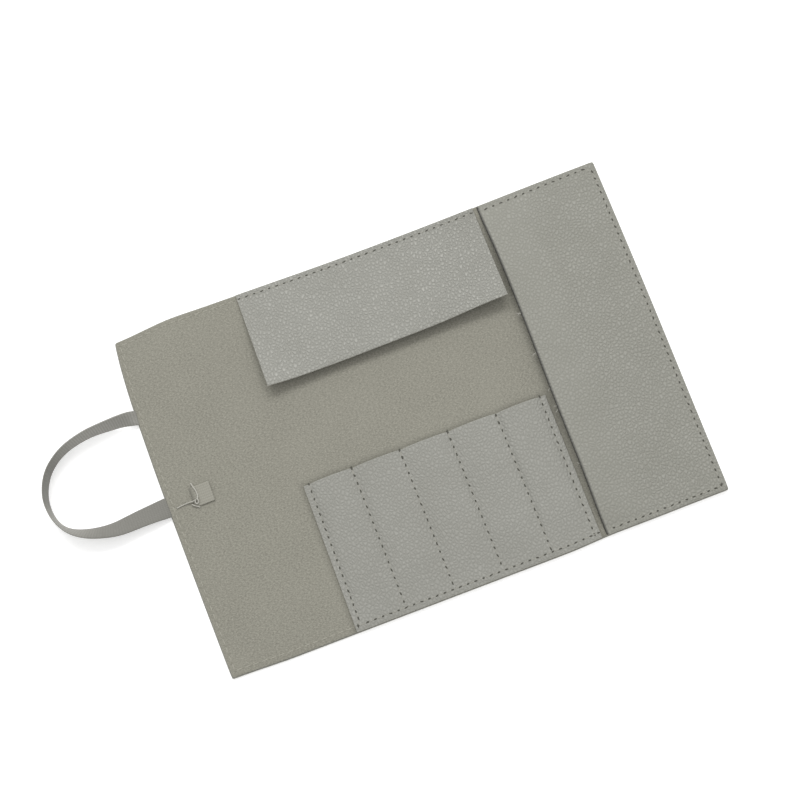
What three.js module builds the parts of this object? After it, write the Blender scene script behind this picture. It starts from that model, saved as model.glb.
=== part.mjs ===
// Pencil roll, laid open with its lining up.
// Millimetres: +X along the long side towards the side pocket, +Y towards the flap, +Z up from the table.
// The sheets are cut into strips along the lines where the case bends when it is rolled.
import * as THREE from "three";

// Sheet sizes
const LENGTH = 300;
const HEIGHT = 208;
const COVER_THICK = 1.2;
const LINING_THICK = 1.0;
const LINING_INSET = 0.6;
const LEATHER_THICK = 1.0;
const CORNER_RADIUS = 2.5;
const SLIT = 0.3;

// Bend lines across the case, from the strap's edge to the side pocket
const TAIL_CREASE = -112.5;
const SLOT_WIDTHS = [29, 29, 30, 30, 29.5];
const PEN_LEFT = -74.5;
const POCKET_FOLD = 74;

// Pen pocket: five sewn slots, each open towards the flap
const PEN_HEIGHT = 88;
const SLOT_RISE = 7.4;
const SLOT_CROWN = 12.4;
const SEAM_MARGIN = 2.6;
const SLOT_STATIONS = [0, 0.4, 0.74, 0.84, 0.92, 0.96, 1];
const SLOT_FULLNESS = [1, 1, 1, 0.75, 0.28, 0, 0];

// Side pocket: sewn on three sides, mouth towards the slots
const MOUTH_X = 77;
const POCKET_RISE = 4.6;
const POCKET_STATIONS = [0, 0.55, 0.76, 0.88, 0.945, 1];
const POCKET_FULLNESS = [1, 1, 0.8, 0.3, 0, 0];
const POCKET_RAMPS = [0, 4, 16, 44];

// Flap over the pencils' points
const FLAP_DEPTH = 57.5;
const FLAP_LEFT = -74;
const FLAP_RIGHT = 73.8;
const FLAP_GAP = 0.3;

// Woven strap: a loop from the left edge and back, with one end sewn down on the lining
const STRAP_WIDTH = 12;
const STRAP_THICK = 1.0;
const STRAP_STEPS = 56;
const STRAP_ROOT_GAP = 0.6;
const STRAP_FLOOR_GAP = 0.1;
const STRAP_END_LIFT = 1.1;
// Share of the strap's width that is gathered in where its upper end is sewn
const STRAP_GATHER = 0.28;
// Degrees by which the strap leans up from flat, at shares of its length
const STRAP_LEAN = [
  [0, 0],
  [0.03, 46],
  [0.08, 70],
  [0.13, 79],
  [0.18, 83],
  [0.33, 89],
  [0.55, 89],
  [0.6, 83],
  [0.64, 71],
  [0.68, 61],
  [0.78, 45],
  [0.83, 35],
  [0.94, 20],
  [1, 0],
];
const STRAP_ROUTE = [
  [-LENGTH / 2 - STRAP_ROOT_GAP, 56.6],
  [-166, 57.4],
  [-183, 56.9],
  [-198.6, 52.5],
  [-210, 43.6],
  [-215.9, 30.9],
  [-215.6, 18],
  [-210.3, 8.3],
  [-200, 2],
  [-185, -1.2],
  [-168, -0.4],
  [-LENGTH / 2 - STRAP_ROOT_GAP, 0.2],
];
const TAB_CENTRE = [-131.3, 0.6];
const TAB_LENGTH = 12;
const TAB_TURN = THREE.MathUtils.degToRad(-4);

const BOTTOM = -HEIGHT / 2;
const TOP = HEIGHT / 2;
const LINING_TOP = COVER_THICK + LINING_THICK;

const leather = new THREE.MeshStandardMaterial({ color: 0xa3a39b, roughness: 0.62, metalness: 0 });
const liningCloth = new THREE.MeshStandardMaterial({ color: 0x969487, roughness: 0.95, metalness: 0 });
const strapWebbing = new THREE.MeshStandardMaterial({ color: 0x8f8d86, roughness: 0.9, metalness: 0 });

const roll = new THREE.Group();

function addMesh(name, geometry, material) {
  const mesh = new THREE.Mesh(geometry, material.clone());
  mesh.name = name;
  roll.add(mesh);
  return mesh;
}

// A flat sheet piece whose left or right corners may be rounded
function sheetPiece(x0, x1, y0, y1, z0, thick, leftRadius = 0, rightRadius = 0) {
  const outline = new THREE.Shape();
  const quarter = Math.PI / 2;
  outline.moveTo(x0 + leftRadius, y0);
  outline.lineTo(x1 - rightRadius, y0);
  if (rightRadius) outline.absarc(x1 - rightRadius, y0 + rightRadius, rightRadius, -quarter, 0);
  outline.lineTo(x1, y1 - rightRadius);
  if (rightRadius) outline.absarc(x1 - rightRadius, y1 - rightRadius, rightRadius, 0, quarter);
  outline.lineTo(x0 + leftRadius, y1);
  if (leftRadius) outline.absarc(x0 + leftRadius, y1 - leftRadius, leftRadius, quarter, 2 * quarter);
  outline.lineTo(x0, y0 + leftRadius);
  if (leftRadius) outline.absarc(x0 + leftRadius, y0 + leftRadius, leftRadius, 2 * quarter, 3 * quarter);
  const geometry = new THREE.ExtrudeGeometry(outline, { depth: thick, bevelEnabled: false, curveSegments: 4 });
  geometry.translate(0, 0, z0);
  return geometry;
}

// A closed skin through rings of points, with an upper and a lower row of equal length in each ring
function skinGeometry(rings) {
  const ringSize = rings[0].length;
  const half = ringSize / 2;
  const position = [];
  const index = [];
  for (const ring of rings) for (const point of ring) position.push(...point);
  const quad = (a, b, c, d) => index.push(a, b, c, a, c, d);
  for (let r = 0; r + 1 < rings.length; r++) {
    for (let p = 0; p < ringSize; p++) {
      const next = (p + 1) % ringSize;
      quad(r * ringSize + p, r * ringSize + next, (r + 1) * ringSize + next, (r + 1) * ringSize + p);
    }
  }
  const last = (rings.length - 1) * ringSize;
  for (let p = 0; p + 1 < half; p++) {
    const under = ringSize - 1 - p;
    quad(p, under, under - 1, p + 1);
    quad(last + p, last + p + 1, last + under - 1, last + under);
  }
  const geometry = new THREE.BufferGeometry();
  geometry.setAttribute("position", new THREE.Float32BufferAttribute(position, 3));
  geometry.setIndex(index);
  return facingOut(geometry);
}

// Turns the faces round if the skin encloses a negative volume
function facingOut(geometry) {
  const at = geometry.getAttribute("position");
  const index = geometry.getIndex().array;
  const [a, b, c] = [new THREE.Vector3(), new THREE.Vector3(), new THREE.Vector3()];
  let volume = 0;
  for (let i = 0; i < index.length; i += 3) {
    a.fromBufferAttribute(at, index[i]);
    b.fromBufferAttribute(at, index[i + 1]);
    c.fromBufferAttribute(at, index[i + 2]);
    volume += a.dot(b.cross(c));
  }
  if (volume < 0) {
    for (let i = 0; i < index.length; i += 3) [index[i + 1], index[i + 2]] = [index[i + 2], index[i + 1]];
  }
  geometry.computeVertexNormals();
  return geometry;
}

// One ring of a leather front standing on the lining: its upper row, then its lower row back again
function frontRing(across, fullness, rise, place) {
  const upper = across.map(([u, share]) => place(u, LINING_TOP + LEATHER_THICK + rise * share * fullness));
  const lower = across.map(([u, share]) => place(u, LINING_TOP + rise * share * fullness));
  return [...upper, ...lower.reverse()];
}

// Bend lines and the strips between them
const slotLines = [PEN_LEFT];
for (const width of SLOT_WIDTHS) slotLines.push(slotLines.at(-1) + width);
const bendLines = [-LENGTH / 2, TAIL_CREASE, ...slotLines.slice(1, -1), POCKET_FOLD, LENGTH / 2];
const stripNames = ["tail", ...SLOT_WIDTHS.map((width, i) => `slot_${i + 1}`), "side"];
const strips = stripNames.map((name, i) => ({
  name,
  first: i === 0,
  last: i === stripNames.length - 1,
  x0: bendLines[i] + (i === 0 ? 0 : SLIT / 2),
  x1: bendLines[i + 1] - (i === stripNames.length - 1 ? 0 : SLIT / 2),
}));

function buildSheets() {
  for (const strip of strips) {
    const leftRadius = strip.first ? CORNER_RADIUS : 0;
    const rightRadius = strip.last ? CORNER_RADIUS : 0;
    addMesh(
      `cover_${strip.name}`,
      sheetPiece(strip.x0, strip.x1, BOTTOM, TOP, 0, COVER_THICK, leftRadius, rightRadius),
      leather,
    );
    const x0 = strip.x0 + (strip.first ? LINING_INSET : 0);
    const x1 = strip.x1 - (strip.last ? LINING_INSET : 0);
    const y0 = BOTTOM + LINING_INSET;
    const y1 = TOP - LINING_INSET;
    addMesh(
      `lining_${strip.name}`,
      sheetPiece(x0, x1, y0, y1, COVER_THICK, LINING_THICK, leftRadius, rightRadius),
      liningCloth,
    );
  }
}

// Each slot front is sewn flat along its sides and bottom and stands open at its mouth
function buildPenSlots() {
  for (let i = 0; i < SLOT_WIDTHS.length; i++) {
    const x0 = slotLines[i] + (i === 0 ? 0 : SLIT / 2);
    const x1 = slotLines[i + 1] - SLIT / 2;
    const middle = (x0 + x1) / 2;
    const across = [
      [x0, 0],
      [x0 + SEAM_MARGIN, 0],
      [middle - SLOT_CROWN / 2, 1],
      [middle + SLOT_CROWN / 2, 1],
      [x1 - SEAM_MARGIN, 0],
      [x1, 0],
    ];
    const rings = SLOT_STATIONS.map((station, k) => {
      const y = BOTTOM + LINING_INSET + (PEN_HEIGHT - LINING_INSET) * (1 - station);
      return frontRing(across, SLOT_FULLNESS[k], SLOT_RISE, (u, z) => [u, y, z]);
    });
    addMesh(`pen_slot_${i + 1}`, skinGeometry(rings), leather);
  }
}

// The side pocket's front rises from its three seams to an open mouth
function buildSidePocket() {
  const seamShares = [0, 0, 0.65, 1];
  const lowY = BOTTOM + LINING_INSET;
  const highY = TOP - LINING_INSET;
  const rampUp = POCKET_RAMPS.map((reach, i) => [lowY + reach, seamShares[i]]);
  const rampDown = POCKET_RAMPS.map((reach, i) => [highY - reach, seamShares[i]]).reverse();
  const across = [...rampUp, ...rampDown];
  const depth = LENGTH / 2 - LINING_INSET - MOUTH_X;
  const rings = POCKET_STATIONS.map((station, k) => {
    const x = MOUTH_X + depth * station;
    return frontRing(across, POCKET_FULLNESS[k], POCKET_RISE, (u, z) => [x, u, z]);
  });
  addMesh("side_pocket", skinGeometry(rings), leather);
}

// The flap bends with the slots behind it, so it is cut along the same lines
function buildFlap() {
  for (let i = 0; i < SLOT_WIDTHS.length; i++) {
    const x0 = i === 0 ? FLAP_LEFT : slotLines[i] + SLIT / 2;
    const x1 = i === SLOT_WIDTHS.length - 1 ? FLAP_RIGHT : slotLines[i + 1] - SLIT / 2;
    const z0 = LINING_TOP + FLAP_GAP;
    addMesh(`flap_${i + 1}`, sheetPiece(x0, x1, TOP - FLAP_DEPTH, TOP, z0, LEATHER_THICK), leather);
  }
}

// How far the strap leans up at a share of its length, in radians
function strapLean(share) {
  const next = Math.max(1, STRAP_LEAN.findIndex(([mark]) => mark >= share));
  const [fromShare, fromLean] = STRAP_LEAN[next - 1];
  const [toShare, toLean] = STRAP_LEAN[next];
  const lean = THREE.MathUtils.mapLinear(share, fromShare, toShare, fromLean, toLean);
  return THREE.MathUtils.degToRad(lean);
}

// The strap lies flat at both ends and leans up on its inner edge round its loop
function buildStrap() {
  const route = new THREE.CatmullRomCurve3(STRAP_ROUTE.map(([x, y]) => new THREE.Vector3(x, y, 0)));
  const rings = [];
  for (let step = 0; step <= STRAP_STEPS; step++) {
    const share = step / STRAP_STEPS;
    const centre = route.getPointAt(share);
    const along = route.getTangentAt(share);
    if (step === 0) along.set(-1, 0, 0);
    if (step === STRAP_STEPS) along.set(1, 0, 0);
    const lean = strapLean(share);
    const outward = new THREE.Vector3(along.y, -along.x, 0);
    const across = outward.clone().multiplyScalar(Math.cos(lean)).setZ(Math.sin(lean));
    const facing = outward.clone().multiplyScalar(-Math.sin(lean)).setZ(Math.cos(lean));
    const endLift = STRAP_END_LIFT * (1 - THREE.MathUtils.smoothstep(Math.min(share, 1 - share), 0, 0.12));
    const gather = STRAP_GATHER * (1 - THREE.MathUtils.smoothstep(share, 0, 0.12));
    const width = STRAP_WIDTH * (1 - gather);
    const standing = (width / 2) * Math.sin(lean) + (STRAP_THICK / 2) * Math.cos(lean);
    centre.z = STRAP_FLOOR_GAP + standing + endLift;
    const corner = (side, face) =>
      centre
        .clone()
        .addScaledVector(across, (side * width) / 2)
        .addScaledVector(facing, (face * STRAP_THICK) / 2)
        .toArray();
    rings.push([corner(-1, 1), corner(1, 1), corner(1, -1), corner(-1, -1)]);
  }
  addMesh("strap_loop", skinGeometry(rings), strapWebbing);

  const half = TAB_LENGTH / 2;
  const tab = addMesh(
    "strap_tab",
    sheetPiece(-half, half, -STRAP_WIDTH / 2, STRAP_WIDTH / 2, 0, STRAP_THICK),
    strapWebbing,
  );
  tab.position.set(...TAB_CENTRE, LINING_TOP);
  tab.rotation.z = TAB_TURN;
}

buildSheets();
buildPenSlots();
buildSidePocket();
buildFlap();
buildStrap();

export default roll;
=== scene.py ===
"""Dress the pencil roll: leather cover, cloth lining, sewn pockets, a loose flap and a woven strap.

Sizes are in millimetres and become metres when a vertex is placed. X runs from the strap edge to the side
pocket, Y towards the flap's sewn edge and Z up from the table.
"""

import logging
import math
from collections.abc import Callable, Iterable
from dataclasses import dataclass
from enum import Enum

import bmesh
import bpy
from mathutils import Matrix, Vector


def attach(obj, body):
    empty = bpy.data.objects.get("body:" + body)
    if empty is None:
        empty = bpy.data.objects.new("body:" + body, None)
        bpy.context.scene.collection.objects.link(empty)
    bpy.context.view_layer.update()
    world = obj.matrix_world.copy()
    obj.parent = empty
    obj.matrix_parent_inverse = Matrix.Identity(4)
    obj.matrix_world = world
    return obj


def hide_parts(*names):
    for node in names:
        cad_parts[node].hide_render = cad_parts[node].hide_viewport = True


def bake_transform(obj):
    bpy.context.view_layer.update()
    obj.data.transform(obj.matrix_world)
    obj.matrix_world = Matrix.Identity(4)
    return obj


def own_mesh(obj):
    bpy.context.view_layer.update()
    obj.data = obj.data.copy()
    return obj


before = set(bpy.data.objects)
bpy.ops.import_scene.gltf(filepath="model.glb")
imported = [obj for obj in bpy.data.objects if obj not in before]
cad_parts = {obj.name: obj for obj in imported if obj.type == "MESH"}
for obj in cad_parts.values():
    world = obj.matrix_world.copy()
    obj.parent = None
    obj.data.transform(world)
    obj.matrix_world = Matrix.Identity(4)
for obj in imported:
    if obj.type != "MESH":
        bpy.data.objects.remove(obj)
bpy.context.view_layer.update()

LOG = logging.getLogger("pencil_roll")
MM = 0.001
FLAT_UNIT = 10.0  # millimetres of sheet to one unit of the flat map
FLAT_MAP = "flat"
RIM_MASK = "rim"
MOUTH_MASK = "mouth"
ONE_STITCH = 9.0  # a stitch length that leaves a short leg of a seam one stitch
SAME_LINE = 1e-6  # how close two grid lines are that count as one
WAVE_UNIT = 0.314  # the wave texture's scale for one band to the unit
WHITE = (1.0, 1.0, 1.0, 1.0)

Field = Callable[[float, float], float]
Shift = Callable[[float, float], tuple[float, float]]
Colour = tuple[float, float, float]
Pair = tuple[float, float]
Piece = bpy.types.Object
Socket = bpy.types.NodeSocket
Material = bpy.types.Material
Given = dict[str | int, object]


def smooth(value: float, low: float, high: float) -> float:
    """Ease from 0 to 1 between two values.

    Args:
        value: Where on the ramp to look.
        low: The value that gives 0.
        high: The value that gives 1.

    Returns:
        The eased share, held at 0 and 1 outside the ramp.
    """
    share = min(1.0, max(0.0, (value - low) / (high - low)))
    return share * share * (3.0 - 2.0 * share)


def metres(point: Iterable[float]) -> Vector:
    """Return a point given in millimetres as a vector in metres."""
    return Vector(point) * MM


def select_only(obj: Piece) -> None:
    """Deselect everything, then select one object and make it active."""
    bpy.ops.object.select_all(action="DESELECT")
    obj.select_set(True)
    bpy.context.view_layer.objects.active = obj


def object_from(bm: bmesh.types.BMesh, name: str, materials: Iterable[Material]) -> Piece:
    """Turn edit geometry into a linked object that sits at the origin.

    Args:
        bm: The geometry, in metres, which is freed.
        name: The new object's name.
        materials: Its material slots in order.

    Returns:
        The object, linked to the scene.
    """
    mesh = bpy.data.meshes.new(name)
    bm.to_mesh(mesh)
    bm.free()
    for material in materials:
        mesh.materials.append(material)
    obj = bpy.data.objects.new(name, mesh)
    bpy.context.scene.collection.objects.link(obj)
    return obj


class Layer(Enum):
    """The record's material slots, by the layer that takes them."""

    LEATHER = "leather"
    CLOTH = "lining_cloth"
    WEBBING = "strap_webbing"


class NodeBench:
    """Places and joins the nodes of one tree."""

    def __init__(self, tree: bpy.types.NodeTree) -> None:
        """Take the tree to work on."""
        self.tree = tree

    def node(self, kind: str, given: Given | None = None, **settings: object) -> bpy.types.Node:
        """Place a node.

        Args:
            kind: The shader node's type, without its prefix.
            given: What each input socket is set to or, where it is a socket, linked to.
            **settings: What the node's own properties are set to.

        Returns:
            The node.
        """
        node = self.tree.nodes.new(f"ShaderNode{kind}")
        for name, value in settings.items():
            setattr(node, name, value)
        for socket, value in (given or {}).items():
            if isinstance(value, Socket):
                self.link(value, node.inputs[socket])
            else:
                node.inputs[socket].default_value = value
        return node

    def link(self, source: Socket, target: Socket) -> None:
        """Join two sockets."""
        self.tree.links.new(source, target)


class ShaderGroups:
    """Surface effects that more than one finish uses, each built once as a node group."""

    def __init__(self) -> None:
        """Build every group."""
        self.pebble = self._pebble_grain()
        self.drift = self._tone_drift()
        self.nap = self._fibre_nap()

    @staticmethod
    def _new(
        name: str, inputs: Iterable[str], outputs: Iterable[str],
    ) -> tuple[NodeBench, bpy.types.NodeOutputs, bpy.types.NodeInputs]:
        """Start a group that reads coordinates.

        Args:
            name: The group's name.
            inputs: Names of its float inputs, after the coordinates.
            outputs: Names of its float outputs.

        Returns:
            The group's bench, its inputs and its outputs.
        """
        tree = bpy.data.node_groups.new(name, "ShaderNodeTree")
        tree.interface.new_socket("Vector", in_out="INPUT", socket_type="NodeSocketVector")
        for direction, names in (("INPUT", inputs), ("OUTPUT", outputs)):
            for socket in names:
                tree.interface.new_socket(socket, in_out=direction, socket_type="NodeSocketFloat")
        given = tree.nodes.new("NodeGroupInput")
        result = tree.nodes.new("NodeGroupOutput")
        return NodeBench(tree), given.outputs, result.inputs

    def _pebble_grain(self) -> bpy.types.NodeTree:
        """Build rounded leather pebbles between thin creases, bent a little out of line."""
        bench, given, result = self._new("pebble_grain", ("Cells",), ("Height", "Tone"))
        flat = given["Vector"]
        bend = bench.node("TexNoise", {"Vector": flat, "Scale": 5.0, "Detail": 1.0}).outputs["Color"]
        bent = bench.node("VectorMath", {0: bend, 1: (0.08, 0.08, 0.0), 2: flat}, operation="MULTIPLY_ADD")
        drawn = bench.node("Mapping", {
            "Vector": bent.outputs["Vector"], "Rotation": (0.0, 0.0, 0.6), "Scale": (1.12, 0.86, 1.0),
        })
        place = {"Vector": drawn.outputs["Vector"], "Scale": given["Cells"]}
        cells = bench.node("TexVoronoi", place, voronoi_dimensions="2D", feature="DISTANCE_TO_EDGE")
        edge = {"Value": cells.outputs["Distance"], "From Max": 0.42}
        dome = bench.node("MapRange", edge, interpolation_type="SMOOTHSTEP").outputs["Result"]
        pick = bench.node("TexVoronoi", place, voronoi_dimensions="2D").outputs["Color"]
        single = bench.node("SeparateColor", {"Color": pick}).outputs["Red"]
        vary = bench.node("MapRange", {"Value": single, "To Min": 0.5}).outputs["Result"]
        tone = bench.node("Math", {0: vary, 1: dome}, operation="MULTIPLY").outputs["Value"]
        bench.link(dome, result["Height"])
        bench.link(tone, result["Tone"])
        return bench.tree

    def _tone_drift(self) -> bpy.types.NodeTree:
        """Build slow, cloudy changes of tone over a surface."""
        bench, given, result = self._new("tone_drift", (), ("Tone",))
        cloud = bench.node("TexNoise", {
            "Vector": given["Vector"], "Scale": 0.35, "Detail": 4.0, "Roughness": 0.55,
        }).outputs["Fac"]
        spread = bench.node("MapRange", {"Value": cloud, "From Min": 0.3, "From Max": 0.7})
        bench.link(spread.outputs["Result"], result["Tone"])
        return bench.tree

    def _fibre_nap(self) -> bpy.types.NodeTree:
        """Build the short brushed fibres of cloth and thread."""
        bench, given, result = self._new("fibre_nap", ("Fineness",), ("Height", "Tone"))
        place, fineness = given["Vector"], given["Fineness"]
        coarse = bench.node("TexNoise", {
            "Vector": place, "Scale": fineness, "Detail": 5.0, "Roughness": 0.7,
        }).outputs["Fac"]
        stretch = bench.node("Mapping", {
            "Vector": place, "Scale": (1.0, 2.6, 1.0), "Rotation": (0.0, 0.0, 0.5),
        }).outputs["Vector"]
        streak = bench.node("TexNoise", {"Vector": stretch, "Scale": fineness, "Detail": 3.0}).outputs["Fac"]
        both = bench.node("Math", {0: coarse, 1: streak}, operation="ADD").outputs["Value"]
        half = bench.node("Math", {0: both, 1: 0.5}, operation="MULTIPLY").outputs["Value"]
        spread = bench.node("MapRange", {"Value": half, "From Min": 0.35, "From Max": 0.65})
        bench.link(half, result["Height"])
        bench.link(spread.outputs["Result"], result["Tone"])
        return bench.tree


class Paint(NodeBench):
    """One material under construction: its Principled shader and the nodes that feed it."""

    def __init__(self, name: str, roughness: float, specular: float) -> None:
        """Start a material with a plain dielectric shader.

        Args:
            name: The material's name.
            roughness: Roughness where nothing else drives it.
            specular: Specular level of the whole surface.
        """
        self.material = bpy.data.materials.new(name)
        self.material.use_nodes = True
        super().__init__(self.material.node_tree)
        self.shader = self.tree.nodes["Principled BSDF"]
        self.fix("Roughness", roughness)
        self.fix("Specular IOR Level", specular)

    def fix(self, socket: str, value: object) -> None:
        """Set one of the shader's sockets to a value that is the same all over."""
        self.shader.inputs[socket].default_value = value

    def feed(self, socket: str, source: Socket) -> None:
        """Drive one of the shader's sockets."""
        self.link(source, self.shader.inputs[socket])

    def flat_map(self) -> Socket:
        """Return the piece's own flat coordinates, in centimetres of uncut sheet."""
        return self.node("UVMap", uv_map=FLAT_MAP).outputs["UV"]

    def object_map(self) -> Socket:
        """Return the piece's object coordinates."""
        return self.node("TexCoord").outputs["Object"]

    def parts(self, vector: Socket) -> bpy.types.NodeOutputs:
        """Return a vector's X, Y and Z as sockets by name."""
        return self.node("SeparateXYZ", {"Vector": vector}).outputs

    def group(self, tree: bpy.types.NodeTree, vector: Socket, **values: float) -> bpy.types.NodeOutputs:
        """Place a shared effect with its own values and return what it puts out."""
        return self.node("Group", {"Vector": vector, **values}, node_tree=tree).outputs

    def mix(self, share: Socket, low: Colour | Socket, high: Colour | Socket) -> Socket:
        """Mix two colours, each given as a colour or as another node's socket.

        Args:
            share: How much of the second colour shows.
            low: The colour where the share is 0.
            high: The colour where the share is 1.

        Returns:
            The mixed colour.
        """
        first, second = (colour if isinstance(colour, Socket) else (*colour, 1.0) for colour in (low, high))
        return self.node("Mix", {"Factor": share, 6: first, 7: second}, data_type="RGBA").outputs[2]

    def scaled(self, value: Socket, low: float, high: float) -> Socket:
        """Map a value from 0 to 1 onto another range."""
        return self.node("MapRange", {"Value": value, "To Min": low, "To Max": high}).outputs["Result"]

    def times(self, first: Socket, second: Socket) -> Socket:
        """Multiply two values."""
        return self.node("Math", {0: first, 1: second}, operation="MULTIPLY").outputs["Value"]

    def ramp(self, value: Socket, start: float, end: float) -> Socket:
        """Rise smoothly from 0 where a value is at its start to 1 where it is at its end."""
        given = {"Value": value, "From Min": start, "From Max": end}
        return self.node("MapRange", given, interpolation_type="SMOOTHSTEP").outputs["Result"]

    def beside_box(self, vector: Socket, low: Pair, high: Pair, reach: float) -> Socket:
        """Return 1 along the outline of a box and 0 at a reach outside it.

        Args:
            vector: The flat coordinates.
            low: The box's lowest corner in them.
            high: Its highest corner.
            reach: How far out the value fades.

        Returns:
            The value.
        """
        centre = ((low[0] + high[0]) / 2, (low[1] + high[1]) / 2, 0.0)
        half = ((high[0] - low[0]) / 2, (high[1] - low[1]) / 2, 0.0)
        off = self.node("VectorMath", {0: vector, 1: centre}, operation="SUBTRACT").outputs["Vector"]
        away = self.node("VectorMath", {0: off}, operation="ABSOLUTE").outputs["Vector"]
        past = self.node("VectorMath", {0: away, 1: half}, operation="SUBTRACT").outputs["Vector"]
        parts = self.parts(past)
        outer = self.node("Math", {0: parts["X"], 1: parts["Y"]}, operation="MAXIMUM")
        return self.ramp(outer.outputs["Value"], reach, 0.0)

    def attribute(self, name: str) -> Socket:
        """Return a float attribute of the mesh."""
        return self.node("Attribute", attribute_name=name).outputs["Fac"]

    def bump(self, height: Socket, strength: float, depth_mm: float) -> None:
        """Raise the surface by a height pattern, on top of what already raises it.

        Args:
            height: The pattern.
            strength: How much of it shows.
            depth_mm: Its depth from low to high.
        """
        raised = self.node("Bump", {"Height": height, "Strength": strength, "Distance": depth_mm * MM})
        previous = self.shader.inputs["Normal"].links
        if previous:
            self.link(previous[0].from_socket, raised.inputs["Normal"])
        self.feed("Normal", raised.outputs["Normal"])


@dataclass(frozen=True)
class LeatherFinish:
    """Soft pebbled leather in a warm grey, worn smooth on one side of a line where that is wished."""

    name: str = "pebbled_leather"
    light: Colour = (0.259, 0.258, 0.231)
    dark: Colour = (0.245, 0.243, 0.216)
    glint: Colour = (0.301, 0.299, 0.271)
    glint_least: float = 0.45
    # paler rims: the cut edge's own paler tone with painted highlight where the rims catch the light
    cut_edge_highlight: Colour = (0.400, 0.390, 0.345)
    # near-black mouth edge: the raw cut's own dark tone with painted shade over it
    shaded_raw_mouth: Colour = (0.022, 0.0215, 0.018)
    shaded_raw_share: float = 0.95
    crease_roughness: float = 0.66
    crown_roughness: float = 0.52
    specular: float = 0.42
    cells_per_cm: float = 4.7
    relief_mm: float = 0.27
    relief_strength: float = 0.9
    fibre_fineness: float = 14.0
    fibre_mm: float = 0.08
    fibre_strength: float = 0.15
    worn_cm: Pair = (-90.0, -80.0)
    worn_share: float = 1.0

    def make(self, groups: ShaderGroups) -> Material:
        """Build the material.

        Args:
            groups: The shared effects.

        Returns:
            The material.
        """
        paint = Paint(self.name, self.crown_roughness, self.specular)
        flat = paint.flat_map()
        grain = paint.group(groups.pebble, flat, Cells=self.cells_per_cm)
        drift = paint.group(groups.drift, flat)["Tone"]
        fibres = paint.group(groups.nap, flat, Fineness=self.fibre_fineness)
        unworn = paint.ramp(paint.parts(flat)["X"], *self.worn_cm)
        kept = paint.scaled(unworn, self.worn_share, 1.0)
        glints = paint.times(grain["Tone"], kept)
        shown = paint.times(glints, paint.scaled(drift, self.glint_least, 1.0))
        pebbled = paint.mix(shown, paint.mix(drift, self.dark, self.light), self.glint)
        # painted highlight on the rims, over the cut edge's own paler tone
        edged = paint.mix(paint.attribute(RIM_MASK), pebbled, self.cut_edge_highlight)
        # painted shade on the pocket's raw mouth edge
        shaded_raw = paint.scaled(paint.attribute(MOUTH_MASK), 0.0, self.shaded_raw_share)
        paint.feed("Base Color", paint.mix(shaded_raw, edged, self.shaded_raw_mouth))
        paint.feed("Roughness", paint.scaled(grain["Height"], self.crease_roughness, self.crown_roughness))
        paint.bump(paint.times(grain["Height"], kept), self.relief_strength, self.relief_mm)
        paint.bump(fibres["Height"], self.fibre_strength, self.fibre_mm)
        return paint.material


@dataclass(frozen=True)
class ClothFinish:
    """Brushed matte lining cloth, with painted shade round the slots' panel where it is sewn down on it."""

    name: str = "brushed_lining"
    light: Colour = (0.316, 0.308, 0.259)
    dark: Colour = (0.148, 0.143, 0.118)
    cloud_share: float = 0.16
    roughness: float = 0.95
    specular: float = 0.18
    sheen: float = 0.12
    sheen_roughness: float = 0.6
    fineness: float = 8.6
    nap_mm: float = 0.18
    nap_strength: float = 0.5
    # painted shade: the lining is darkened round the slots' panel, where the raised panel shades it
    painted_panel_shade: Colour = (0.050, 0.048, 0.039)
    painted_panel_shade_share: float = 0.21
    painted_panel_shade_reach_cm: float = 0.42
    panel_low_cm: Pair = (-7.5, -10.5)
    panel_high_cm: Pair = (7.3, -1.6)

    def make(self, groups: ShaderGroups) -> Material:
        """Build the material.

        Args:
            groups: The shared effects.

        Returns:
            The material.
        """
        paint = Paint(self.name, self.roughness, self.specular)
        paint.fix("Sheen Weight", self.sheen)
        paint.fix("Sheen Roughness", self.sheen_roughness)
        flat = paint.flat_map()
        fibres = paint.group(groups.nap, flat, Fineness=self.fineness)
        drift = paint.group(groups.drift, flat)["Tone"]
        shade = paint.mix(fibres["Tone"], self.dark, self.light)
        cloudy = paint.mix(paint.scaled(drift, 0.0, self.cloud_share), shade, self.light)
        # painted shade along the slots' panel outline, and under the panel
        corner = paint.beside_box(flat, self.panel_low_cm, self.panel_high_cm, self.painted_panel_shade_reach_cm)
        paint.feed("Base Color", paint.mix(paint.scaled(corner, 0.0, self.painted_panel_shade_share), cloudy, self.painted_panel_shade))
        paint.bump(fibres["Height"], self.nap_strength, self.nap_mm)
        return paint.material


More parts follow.
